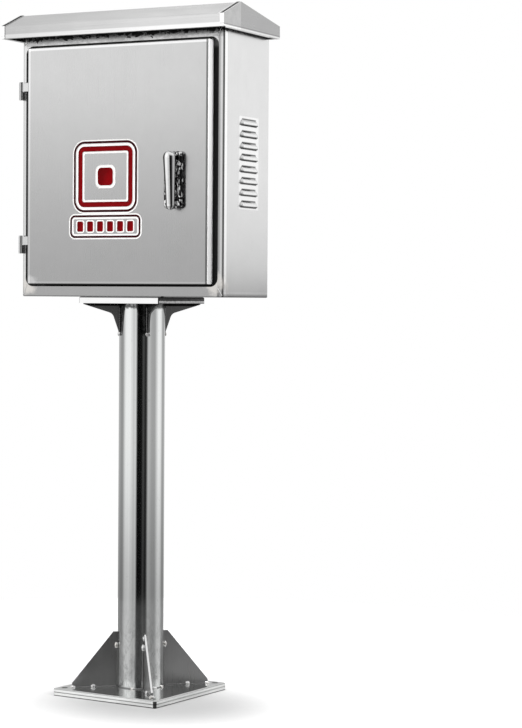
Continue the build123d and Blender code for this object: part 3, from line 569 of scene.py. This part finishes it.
def bright_edge(tree, at):
    """A painted highlight on the outer edge of the front right gusset, lighter than its faces."""
    turn = math.radians(diagonals["front_right"]) + base_yaw
    east = math_node(tree, "MULTIPLY", at.nx, math.cos(turn))
    north = math_node(tree, "MULTIPLY", at.ny, math.sin(turn))
    return [(above(tree, math_node(tree, "ADD", east, north), 0.35, 0.2), 2.6, -0.05)]


def top_gusset_marks(tree, at):
    """Painted shade on the upper part of the gussets below the top plate."""
    return [(above(tree, at.z, top_high.z - 0.0195, 0.002), 0.08, 0.1)]


def lever_marks(tree, at):
    """A painted dark reflection as an outline on the lever's left side and at its right edge."""
    return [(below(tree, at.nx, -0.34, 0.16), 0.10, 0.05), (above(tree, at.nx, 0.985, 0.02), 0.3, 0.0)]


def lock_marks(tree, at):
    """Cloudy patches of painted dark reflection in the lock's face."""
    swirl = noise(tree, object_space(tree, (1.0, 1.0, 0.7)), 75.0, 1.0, 0.5, 1.6)
    return [(below(tree, swirl, 0.508, 0.05), 0.05, 0.0)]


def channel_marks(tree, at):
    """The rain channel, where its painted shade is lifted by painted light at the hinge side and along the
    top.
    """
    lit_share = either(tree, below(tree, at.x, -0.2, 0.01), above(tree, at.z, 1.39, 0.01))
    return [(lit_share, 6.0, -0.2)]


def dull(tree, at):
    """1 all over, so that the whole surface is less metallic."""
    return above(tree, at.nz, -2.0, 0.1)


# Materials

opening_corners = [
    Vector((opening_left, body_low.y, opening_foot)),
    Vector((0.229, body_low.y, opening_foot + 0.001)),
]
gusset_grain = {"depth": 0.02, "cloud": 0.10, "grain_bump": 0.05}
wall_metal = brushed_steel(
    "sheet_upright_grain", 0.70, 0.22, "z", depth=0.02, cloud=0.03, grain_bump=0.04,
    polished=opening_corners, marks=wall_marks,
)
door_metal = brushed_steel(
    "door_upright_grain", 0.605, 0.24, "z", depth=0.018, cloud=0.02, grain_bump=0.04,
    marks=door_marks, matt=door_matt,
)
roof_metal = brushed_steel(
    "canopy_long_grain", 0.61, 0.20, "x", depth=0.07, cloud=0.05, grain_bump=0.14, marks=roof_marks,
)
gable_metal = brushed_steel(
    "gable_long_grain", 0.385, 0.24, "y", depth=0.03, marks=gable_marks, matt=lap_step_shade, shine=0.05,
)
plate_metal = brushed_steel(
    "base_plate_grain", 0.70, 0.16, "x", cloud=0.10, tint=(0.99, 1.0, 0.99),
    marks=base_plate_marks, matt=edge_matt,
)
top_metal = brushed_steel("top_plate_grain", 0.70, 0.16, "x", depth=0.04, marks=top_plate_marks)
gusset_metal = brushed_steel("gusset_grain", 0.60, 0.30, "z", **gusset_grain)
# The front right gusset is given a lower tone than the other gussets as painted shade, with a painted
# highlight on its outer edge
facing_shade_metal = brushed_steel("front_gusset_shaded_grain", 0.42, 0.28, "z", marks=bright_edge, **gusset_grain)
# The rain channel is stainless sheet painted near black as shade, and made dull
channel_shade_metal = brushed_steel(
    "channel_shaded_grain", 0.020, 0.60, "z", depth=0.05, cloud=0.10, marks=channel_marks, matt=dull, shine=0.05,
)
# The top gussets and their beads are given a low tone as painted shade under the top plate
under_plate_shade_metal = brushed_steel(
    "top_gusset_shaded_grain", 0.20, 0.24, "z", depth=0.10, cloud=0.30, marks=top_gusset_marks,
)
bead_metal = brushed_steel("dull_bead", 0.30, 0.30, "z", depth=0.12, cloud=0.20)
tube_metal = polished_steel(
    "column_polish", 0.84, 0.07, streak=0.04, tint=(0.985, 1.0, 0.995), marks=tube_marks,
)
lever_metal = chrome("lever_chrome", 0.94, 260.0, 0.06, 0.0003, lever_marks)
lock_metal = chrome("lock_chrome", 0.90, 62.0, 1.0, 0.0030, lock_marks)
weld = weld_metal("weld_metal")
zinc = galvanised("zinc_sheet")
black = rubber("black_rubber")
hardware = polished_steel("fastener_steel", 0.72, 0.26, waviness=0.1)
sign_red = vinyl("film_red", (0.185, 0.0006, 0.0024), (0.215, 0.004, 0.006), 0.06)
sign_dark = vinyl("film_dark_red", (0.030, 0.002, 0.004), (0.060, 0.005, 0.008), 0.1)
sign_white = vinyl("film_white", (0.93, 0.92, 0.91), (0.86, 0.84, 0.83), 0.15)

finishes = {
    wall_metal: ("cabinet_floor", "cabinet_side_right", "cabinet_side_left", "cabinet_top", "cabinet_back"),
    channel_shade_metal: ("gutter_frame",),
    door_metal: ("door_panel", "door_stiffener"),
    roof_metal: ("roof_sheet", "roof_bracket_right", "roof_bracket_left"),
    gable_metal: ("roof_gable_right", "roof_gable_left"),
    plate_metal: ("base_plate",),
    top_metal: ("top_plate",),
    tube_metal: ("post_tube",),
    facing_shade_metal: ("base_gusset_front_right",),
    gusset_metal: ("base_gusset_back_right", "base_gusset_back_left", "base_gusset_front_left"),
    under_plate_shade_metal: tuple("top_gusset_" + name for name in diagonals),
    zinc: ("mounting_plate", "tongue", "lock_nut"),
    lever_metal: ("lever", "spindle"),
    lock_metal: ("lock_base",),
    black: ("lock_seal", "door_gasket", "cable_grommet"),
}
finish_of = {name: finish for finish, names in finishes.items() for name in names}
for name, node in nodes.items():
    finish = finish_of.get(name, hardware)
    if not node.material_slots:
        node.data.materials.append(finish)
    for material_slot in node.material_slots:
        material_slot.material = finish


# New pieces

bead_gap = 0.0006


def lift(height):
    return Vector((0, 0, height))


def bridge(bm, rings):
    """Joins rings of vertices into a tube."""
    sides = len(rings[0])
    for first, second in zip(rings, rings[1:]):
        for k in range(sides):
            after = (k + 1) % sides
            bm.faces.new((first[k], first[after], second[after], second[k]))


def new_piece(name, bm, material, body):
    mesh = bpy.data.meshes.new(name)
    bmesh.ops.recalc_face_normals(bm, faces=bm.faces)
    bm.to_mesh(mesh)
    bm.free()
    for face in mesh.polygons:
        face.use_smooth = True
    piece = bpy.data.objects.new(name, mesh)
    bpy.context.scene.collection.objects.link(piece)
    piece.data.materials.append(material)
    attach(piece, body)
    return piece


def bead(bm, path, radius, pitch, rng, flatten=0.7, up=Vector((0, 0, 1))):
    """A rippled weld bead along straight runs between the points of the path."""
    lengths = [(b - a).length for a, b in zip(path, path[1:])]
    total = sum(lengths)
    count = max(4, int(total / (pitch / 3)))
    rings = []
    sides = 8
    for i in range(count + 1):
        s = total * i / count
        left = s
        for (a, b), length in zip(zip(path, path[1:]), lengths):
            if left <= length or (a, b) == (path[-2], path[-1]):
                place = a.lerp(b, min(1.0, left / length))
                way = (b - a).normalized()
                break
            left -= length
        side = way.cross(up)
        side = side.normalized() if side.length > 1e-6 else way.orthogonal().normalized()
        other = side.cross(way).normalized()
        ease = min(1.0, 4.0 * min(s, total - s) / max(total * 0.25, 1e-6))
        size = radius * (0.35 + 0.65 * math.sin(0.5 * math.pi * min(1.0, ease + 0.05)))
        size *= 1.0 + 0.13 * math.sin(2 * math.pi * s / pitch) + 0.10 * (rng.random() - 0.5)
        place = place + side * radius * 0.12 * (rng.random() - 0.5)
        ring = []
        for k in range(sides):
            angle = 2 * math.pi * k / sides
            spot = place + side * math.cos(angle) * size + other * math.sin(angle) * size * flatten
            ring.append(bm.verts.new(spot))
        rings.append(ring)
    bridge(bm, rings)
    bm.faces.new(rings[0])
    bm.faces.new(list(reversed(rings[-1])))


def puddle(bm, centre, along, out, size, rng):
    """A stitch weld's end: a flattened lump with ripple rings."""
    made = bmesh.ops.create_icosphere(bm, subdivisions=3, radius=1.0)["verts"]
    along = along.normalized()
    out = out.normalized()
    across = out.cross(along).normalized()
    long_half, wide_half, high = size
    phase = rng.random() * 6.28
    for vert in made:
        a, b, c = vert.co
        lump = 1.0 + 0.05 * math.sin(9 * a + phase) + 0.04 * math.sin(7 * b - phase)
        level = centre + along * a * long_half * lump + across * b * wide_half * lump
        vert.co = level + out * c * high * lump


def gusset_directions(name, yaw):
    angle = math.radians(diagonals[name]) + yaw
    out = Vector((math.cos(angle), math.sin(angle), 0))
    return out, Vector((-out.y, out.x, 0))


def beside(foot, out, reach, height):
    """A place by a gusset's face, from its reach out of the column and its height."""
    return foot + out * (column_radius + reach) + lift(height)


def gusset_beads(bm, foot, out, across, upright_heights, level, reach, rng):
    """The upright bead on the column and the level bead on the plate, on one face of a gusset."""
    ends = [beside(foot, out, bead_gap, height) for height in upright_heights]
    bead(bm, ends, 0.0019, 0.004, rng, 0.8, across)
    run = [beside(foot, out, 0.002, level), beside(foot, out, reach, level)]
    bead(bm, run, 0.0018, 0.004, rng, 0.8)


def ring_bead(bm, height, rng):
    """The bead all round the column where it meets a plate."""
    steps = 96
    path = []
    for i in range(steps + 1):
        angle = 2 * math.pi * i / steps
        out = Vector((math.cos(angle), math.sin(angle), 0))
        path.append(out * (column_radius + bead_gap) + lift(height))
    bead(bm, path, 0.0021, 0.0045, rng, 0.8)


def base_welds():
    rng = random.Random(11)
    bm = bmesh.new()
    lumps = bmesh.new()
    floor = plate_high.z
    for name in diagonals:
        out, side = gusset_directions(name, base_yaw)
        for sign in (1, -1):
            across = side * sign
            foot = across * (half_gusset + 0.0008)
            gusset_beads(bm, foot, out, across, (floor + 0.002, floor + 0.088), floor + 0.0006, 0.098, rng)
            corner = (across + lift(1)).normalized()
            head_end = beside(foot, out, 0.004, floor + 0.090)
            middle = beside(foot, out, 0.054, floor + 0.0020)
            outer_end = beside(foot, out, 0.098, floor + 0.0008)
            puddle(lumps, head_end, lift(1), across + out, (0.0070, 0.0046, 0.0036), rng)
            puddle(lumps, middle, out, corner, (0.0058, 0.0046, 0.0048), rng)
            puddle(lumps, outer_end, out, corner, (0.0060, 0.0044, 0.0032), rng)
    out = gusset_directions("front_right", base_yaw)[0]
    gusset_head = out * (column_radius + 0.005) + lift(floor + 0.110)
    puddle(lumps, gusset_head, lift(1), out, (0.0060, 0.0040, 0.0034), rng)
    ring_bead(bm, floor + 0.0004, rng)
    for degrees in (-78.0, -22.0, 8.0, 70.0, 110.0, 160.0, 205.0):
        angle = math.radians(degrees)
        out = Vector((math.cos(angle), math.sin(angle), 0))
        centre = out * (column_radius + 0.0015) + lift(floor + 0.001)
        puddle(lumps, centre, Vector((-out.y, out.x, 0)), out + lift(1), (0.006, 0.003, 0.003), rng)
    new_piece("base_weld_beads", bm, bead_metal, "cabinet")
    new_piece("base_weld_puddles", lumps, weld, "cabinet")


def top_welds():
    rng = random.Random(23)
    bm = bmesh.new()
    lumps = bmesh.new()
    under = top_high.z - 0.003
    for name in diagonals:
        out, side = gusset_directions(name, 0.0)
        for sign in (1, -1):
            across = side * sign
            foot = across * (half_gusset + 0.0008)
            gusset_beads(bm, foot, out, across, (under - 0.016, under - 0.074), under - 0.0006, 0.076, rng)
            low_end = beside(foot, out, 0.001, under - 0.077)
            puddle(lumps, low_end, lift(1), across + out, (0.005, 0.003, 0.0028), rng)
    ring_bead(bm, under - 0.0004, rng)
    new_piece("top_weld_beads", bm, under_plate_shade_metal, "cabinet")
    new_piece("top_weld_puddles", lumps, weld, "cabinet")


def rounded(cx, cz, width, height, radius):
    """The outline of a rectangle with rounded corners, as places in X and Z."""
    steps = 10
    points = []
    for sx, sz, start in ((1, 1, 0), (-1, 1, 90), (-1, -1, 180), (1, -1, 270)):
        for i in range(steps + 1):
            angle = math.radians(start + 90 * i / steps)
            points.append((
                cx + sx * (width / 2 - radius) + radius * math.cos(angle),
                cz + sz * (height / 2 - radius) + radius * math.sin(angle),
            ))
    return points


def film(bm, outer, inner, front, thickness):
    """Printed film between two outlines, or a solid field when inner is None."""
    def loop(points, y):
        return [bm.verts.new((x, y, z)) for x, z in points]
    outer_front, outer_back = loop(outer, front), loop(outer, front + thickness)
    count = len(outer)
    if inner is None:
        bm.faces.new(outer_front)
        bm.faces.new(list(reversed(outer_back)))
    else:
        inner_front, inner_back = loop(inner, front), loop(inner, front + thickness)
    for i in range(count):
        j = (i + 1) % count
        bm.faces.new((outer_front[i], outer_front[j], outer_back[j], outer_back[i]))
        if inner is not None:
            bm.faces.new((outer_front[i], inner_front[i], inner_front[j], outer_front[j]))
            bm.faces.new((inner_front[i], inner_back[i], inner_back[j], inner_front[j]))
            bm.faces.new((outer_back[i], outer_back[j], inner_back[j], inner_back[i]))


def door_decals():
    """A plain square frame over a plate with six bars. A layer lies between two insets of the outline."""
    thick = 0.0001
    front = door_low.y - thick - 0.00002
    dark, white, red = bmesh.new(), bmesh.new(), bmesh.new()
    cx, cz, width, height, corner = -0.0335, 1.1220, 0.158, 0.152, 0.026
    frame_layers = [
        (-0.0029, 0.0, white), (0.0, 0.0050, dark), (0.0050, 0.0110, white), (0.0110, 0.0220, red),
        (0.0220, 0.0265, white),
    ]
    for start, end, target in frame_layers:
        outer = rounded(cx, cz, width - 2 * start, height - 2 * start, max(corner - start, 0.004))
        inner = rounded(cx, cz, width - 2 * end, height - 2 * end, max(corner - end, 0.003))
        film(target, outer, inner, front, thick)
    field = rounded(cx, cz, 0.038, 0.038, 0.009)
    film(white, rounded(cx, cz, 0.050, 0.050, 0.013), field, front, thick)
    film(red, rounded(cx, cz, 0.038, 0.038, 0.009), None, front, thick)
    px, pz, p_width, p_height, p_corner = -0.0335, 1.0155, 0.176, 0.049, 0.012
    plate_layers = [(-0.0029, 0.0, white), (0.0, 0.0046, dark), (0.0046, 0.0085, white)]
    for start, end, target in plate_layers:
        outer = rounded(px, pz, p_width - 2 * start, p_height - 2 * start, p_corner - start)
        inner = rounded(px, pz, p_width - 2 * end, p_height - 2 * end, p_corner - end)
        film(target, outer, inner, front, thick)
    bars = 6
    pitch = 0.0250
    bar_width, bar_height, bar_corner, rim = 0.0150, 0.0220, 0.003, 0.0028
    for i in range(bars):
        bx = px + pitch * (i - (bars - 1) / 2)
        bar = rounded(bx, pz, bar_width, bar_height, bar_corner)
        bar_rim = rounded(bx, pz, bar_width + 2 * rim, bar_height + 2 * rim, bar_corner + rim)
        film(white, bar_rim, bar, front, thick)
        film(red, bar, None, front, thick)
    new_piece("decal_dark_outlines", dark, sign_dark, "door")
    new_piece("decal_white_keylines", white, sign_white, "door")
    new_piece("decal_red_fields", red, sign_red, "door")


def rim_welds():
    """The dressed mitre welds at the four corners of the cabinet's front rim."""
    rng = random.Random(5)
    bm = bmesh.new()
    front = body_low.y - 0.0001
    for sx, inner_x in ((1, 0.232), (-1, -0.239)):
        for sz, inner_z in ((-1, 0.891), (1, 1.405)):
            outer_z = body_low.z + 0.003 if sz < 0 else body_high.z - 0.003
            start = Vector((inner_x, front, inner_z))
            end = Vector((sx * (wall_x - 0.0025), front, outer_z))
            bead(bm, [start, end], 0.0009, 0.003, rng, 0.25, Vector((0, 1, 0)))
    new_piece("rim_mitre_welds", bm, weld, "cabinet")


def lever_grip():
    """The lever as a crowned casting: an oval section that tapers from the head to the tip."""
    low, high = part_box("lever")
    skin = 0.0001
    head_radius = (high.x - low.x) / 2 - skin
    tip_radius = head_radius * 0.69
    centre_x = (low.x + high.x) / 2
    head_z, tip_z = high.z - head_radius - skin, low.z + tip_radius + skin
    head_half, tip_half = 0.0110, 0.0072
    head_y, tip_y = low.y + head_half + 2 * skin, high.y - tip_half - 2 * skin
    bm = bmesh.new()
    rings = []
    rows, sides = 72, 48
    for i in range(rows + 1):
        turn = math.pi * i / rows
        z = (low.z + high.z) / 2 - math.cos(turn) * (high.z - low.z - 2 * skin) / 2
        share = min(1.0, max(0.0, (z - tip_z) / (head_z - tip_z)))
        full = tip_radius + (head_radius - tip_radius) * share
        past = max(0.0, z - head_z, tip_z - z)
        width = math.sqrt(max(full * full - past * past, 0.0)) if past else full
        half = (tip_half + (head_half - tip_half) * share) * (max(width, 1e-5) / full) ** 0.6
        y = tip_y + (head_y - tip_y) * share
        ring = []
        for k in range(sides):
            angle = 2 * math.pi * k / sides
            across, out = math.cos(angle), math.sin(angle)
            ring.append(bm.verts.new((centre_x + width * across, y + half * out, z)))
        rings.append(ring)
    bridge(bm, rings)
    bm.faces.new(rings[0])
    bm.faces.new(rings[-1])
    grip = new_piece("lever_grip", bm, lever_metal, "handle")
    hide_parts("lever")


base_welds()
lever_grip()
top_welds()
rim_welds()
door_decals()


# Studio

# The grey levels that polished metal sees, by direction from the column in degrees
bank_stops = [
    (-180, 0.70), (-110, 0.46), (-92, 0.34), (-78, 0.36), (-58, 0.96), (-50, 1.0), (-30, 1.0), (-11, 0.68),
    (0, 0.80), (8, 0.004), (30, 0.006), (39, 0.075), (47, 0.02), (54, 0.03), (64, 0.60), (82, 0.43),
    (100, 0.42), (122, 1.0), (135, 1.0), (150, 0.54), (166, 0.42),
]
shadow_centre = (0.10, -0.08, 0.0)
shadow_inner, shadow_outer = 0.09, 0.38


def room_banks(tree, x, y):
    """What polished metal sees all round it: soft white banks with darker gaps."""
    turn = math_node(tree, "ARCTAN2", x, math_node(tree, "MULTIPLY", y, -1.0))
    share = math_node(tree, "MULTIPLY_ADD", turn, 1 / (2 * math.pi), 0.5)
    banks = add(tree, "ShaderNodeValToRGB")
    tree.links.new(share, banks.inputs["Fac"])
    ramp = banks.color_ramp
    while len(ramp.elements) > 1:
        ramp.elements.remove(ramp.elements[-1])
    for number, (degrees, level) in enumerate(bank_stops):
        position = (degrees + 180) / 360
        element = ramp.elements.new(position) if number else ramp.elements[0]
        element.position = position
        element.color = (level, level, level, 1)
    return banks.outputs["Color"]


def mirror_rays(tree, rays):
    return math_node(tree, "MAXIMUM", rays.outputs["Is Glossy Ray"], rays.outputs["Is Transmission Ray"])


def added(tree, first, second):
    """Two surfaces' light added up."""
    node = add(tree, "ShaderNodeAddShader")
    tree.links.new(first.outputs[0], node.inputs[0])
    tree.links.new(second.outputs[0], node.inputs[1])
    return node


def floor_material():
    """A pale floor. The camera sees it glow, less so in a round patch for the shadow. Metal sees banks."""
    material, tree, bsdf = new_material("studio_floor")
    place = object_space(tree)
    at = Axes(tree)
    bsdf.inputs["Roughness"].default_value = 0.9
    bsdf.inputs["Specular IOR Level"].default_value = 0.0
    speckle = noise(tree, place, 40.0, 3.0)
    tree.links.new(mixed(tree, speckle, (0.64, 0.64, 0.64), (0.67, 0.67, 0.67)), bsdf.inputs["Base Color"])
    rays = add(tree, "ShaderNodeLightPath")
    reach = add(tree, "ShaderNodeVectorMath", operation="DISTANCE")
    tree.links.new(place, reach.inputs[0])
    reach.inputs[1].default_value = shadow_centre
    fill = ranged(tree, reach.outputs["Value"], shadow_inner, shadow_outer, 0.0, 0.50, smooth=True)
    glow = add(tree, "ShaderNodeEmission")
    seen_glow = math_node(tree, "MULTIPLY", rays.outputs["Is Camera Ray"], fill)
    tree.links.new(seen_glow, glow.inputs["Strength"])
    mirrored = add(tree, "ShaderNodeEmission")
    tree.links.new(room_banks(tree, at.x, at.y), mirrored.inputs["Color"])
    mirrored.inputs["Strength"].default_value = 0.52
    evenly = add(tree, "ShaderNodeEmission")
    evenly.inputs["Strength"].default_value = 0.055
    total = add(tree, "ShaderNodeMixShader")
    tree.links.new(mirror_rays(tree, rays), total.inputs[0])
    tree.links.new(added(tree, bsdf, glow).outputs[0], total.inputs[1])
    tree.links.new(added(tree, mirrored, evenly).outputs[0], total.inputs[2])
    tree.links.new(total.outputs[0], tree.nodes["Material Output"].inputs["Surface"])
    return material


def make_floor():
    bm = bmesh.new()
    bmesh.ops.create_circle(bm, cap_ends=True, segments=96, radius=1.5)
    mesh = bpy.data.meshes.new("studio_floor")
    bm.to_mesh(mesh)
    bm.free()
    floor = bpy.data.objects.new("studio_floor", mesh)
    floor.location = (0, 0, -0.0002)
    bpy.context.scene.collection.objects.link(floor)
    mesh.materials.append(floor_material())


def make_world():
    """White for the camera. For light it is an even pale room, and metal sees its banks and gaps."""
    world = bpy.data.worlds.new("studio")
    bpy.context.scene.world = world
    world.use_nodes = True
    tree = world.node_tree
    tree.nodes.clear()
    coords = add(tree, "ShaderNodeTexCoord")
    x, y, z = parted(tree, coords.outputs["Generated"])
    height = math_node(tree, "ARCSINE", z)
    lower = ranged(tree, height, math.radians(-9), math.radians(-3), 0.50, 1.0, smooth=True)
    around = mixed(tree, lower, (0.0, 0.0, 0.0), room_banks(tree, x, y))
    upward = ranged(tree, height, math.radians(14), math.radians(40), 0.0, 1.0, smooth=True)
    room = mixed(tree, upward, around, (0.80, 0.80, 0.80))
    rays = add(tree, "ShaderNodeLightPath")
    color = mixed(tree, mirror_rays(tree, rays), (0.64, 0.64, 0.64), room)
    color = mixed(tree, rays.outputs["Is Camera Ray"], color, (1.0, 1.0, 1.0))
    background = add(tree, "ShaderNodeBackground")
    tree.links.new(color, background.inputs["Color"])
    output = add(tree, "ShaderNodeOutputWorld")
    tree.links.new(background.outputs[0], output.inputs["Surface"])


def bank(name, place, target, width, height, level):
    """A soft light panel. Level is its brightness: 1 is white."""
    data = bpy.data.lights.new(name, "AREA")
    data.shape = "RECTANGLE"
    data.size = width
    data.size_y = height
    data.energy = level * math.pi * width * height
    lamp = bpy.data.objects.new(name, data)
    lamp.location = place
    lamp.rotation_euler = (Vector(target) - Vector(place)).to_track_quat("-Z", "Y").to_euler()
    lamp.visible_camera = False
    bpy.context.scene.collection.objects.link(lamp)
    return lamp


make_floor()
make_world()
bank("bank_left_front", (-0.80, -1.35, 1.85), (-0.05, -0.10, 1.50), 0.9, 0.9, 0.22)
bank("bank_right_back", (0.92, 1.20, 1.45), (0.25, 0.05, 1.30), 0.8, 1.1, 0.55)
bank("bank_overhead", (-0.12, 0.25, 2.9), (0.0, 0.0, 0.0), 0.7, 0.7, 24.0)
fill_lamp = bank("bank_right_front", (2.15, -0.90, 1.15), (0.217, -0.09, 1.15), 0.7, 1.5, 12.5)
low_lamp = bank("bank_low_front", (-0.35, -1.60, 0.42), (0.0, -0.10, 0.05), 0.5, 0.36, 18.0)
for lamp in (fill_lamp, low_lamp):
    lamp.visible_glossy = False


# Camera

def make_camera():
    """The photograph's view, fitted to the object's corners: no shift, a long lens."""
    place = Vector((2.39145, -4.05738, 0.86199))
    yaw, pitch, roll = math.radians(-27.3606), math.radians(1.7175), math.radians(0.39883)
    ahead = Vector((math.sin(yaw) * math.cos(pitch), math.cos(yaw) * math.cos(pitch), -math.sin(pitch)))
    right = Vector((math.cos(yaw), -math.sin(yaw), 0))
    up = right.cross(ahead)
    right_rolled = right * math.cos(roll) + up * math.sin(roll)
    up_rolled = up * math.cos(roll) - right * math.sin(roll)
    data = bpy.data.cameras.new("camera")
    data.lens = 106.804
    data.sensor_width = 36.0
    data.clip_end = 50.0
    camera = bpy.data.objects.new("camera", data)
    turn = Matrix((right_rolled, up_rolled, -ahead)).transposed()
    camera.matrix_world = Matrix.Translation(place) @ turn.to_4x4()
    bpy.context.scene.collection.objects.link(camera)
    bpy.context.scene.camera = camera


make_camera()
bpy.context.scene.view_settings.view_transform = "Standard"
